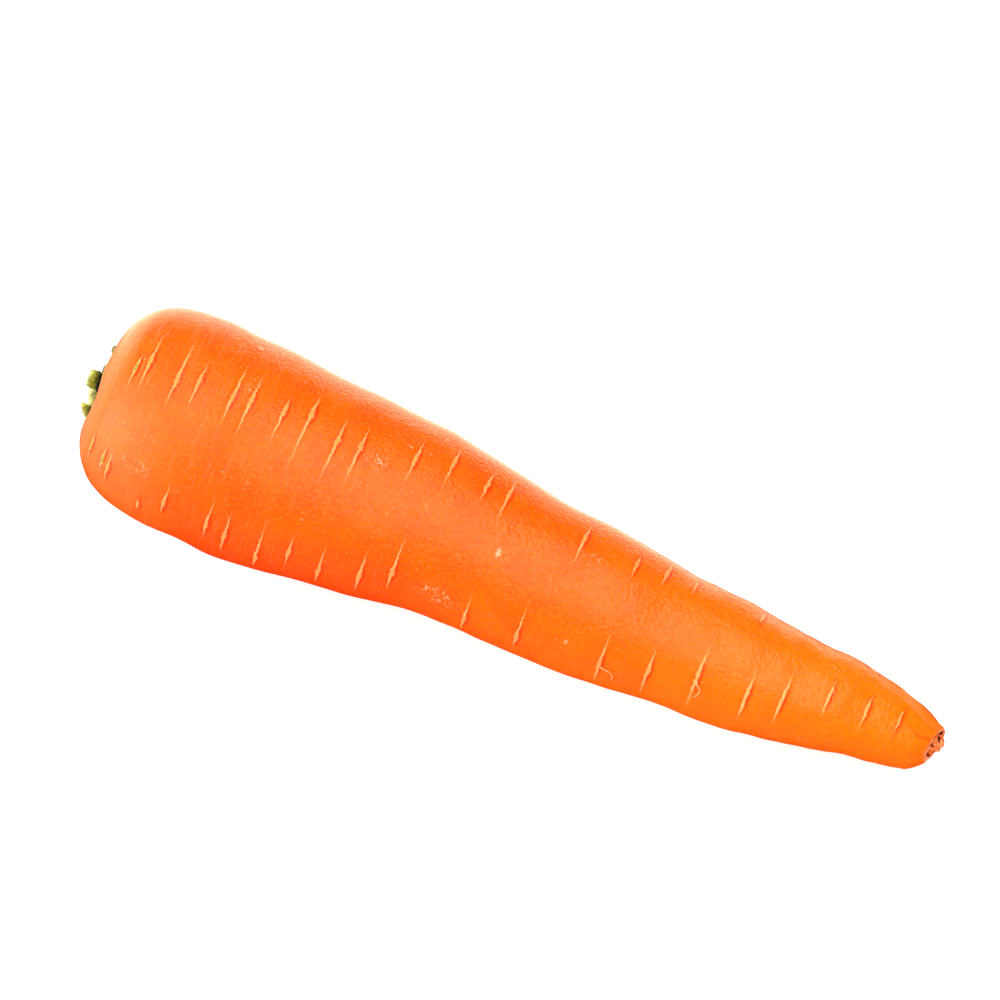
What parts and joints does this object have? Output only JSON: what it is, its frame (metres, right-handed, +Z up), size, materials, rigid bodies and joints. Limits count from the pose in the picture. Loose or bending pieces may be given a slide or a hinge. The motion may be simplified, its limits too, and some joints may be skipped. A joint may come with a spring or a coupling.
{
  "type": "carrot",
  "caption": "Fresh orange carrot lying on its side: a tapering root with scars across it, a broken tip, and green leaf stalks cut short in the crown.",
  "frame": {"origin": "on the surface that the carrot lies on, under the middle of its bounding box", "axes": "+X along the carrot from the crown to the tip, +Z up, +Y to the back"},
  "size_m": [0.1764, 0.0424, 0.043],
  "materials": {
    "taproot": "moist, satin orange skin with pale scars lying across it",
    "leaf_stalks": "matt, fibrous cut stalks, pale green to olive"
  },
  "bodies": {
    "root": {"taproot": "taproot", "leaf_stalks": "leaf_stalks"}
  },
  "joints": []
}
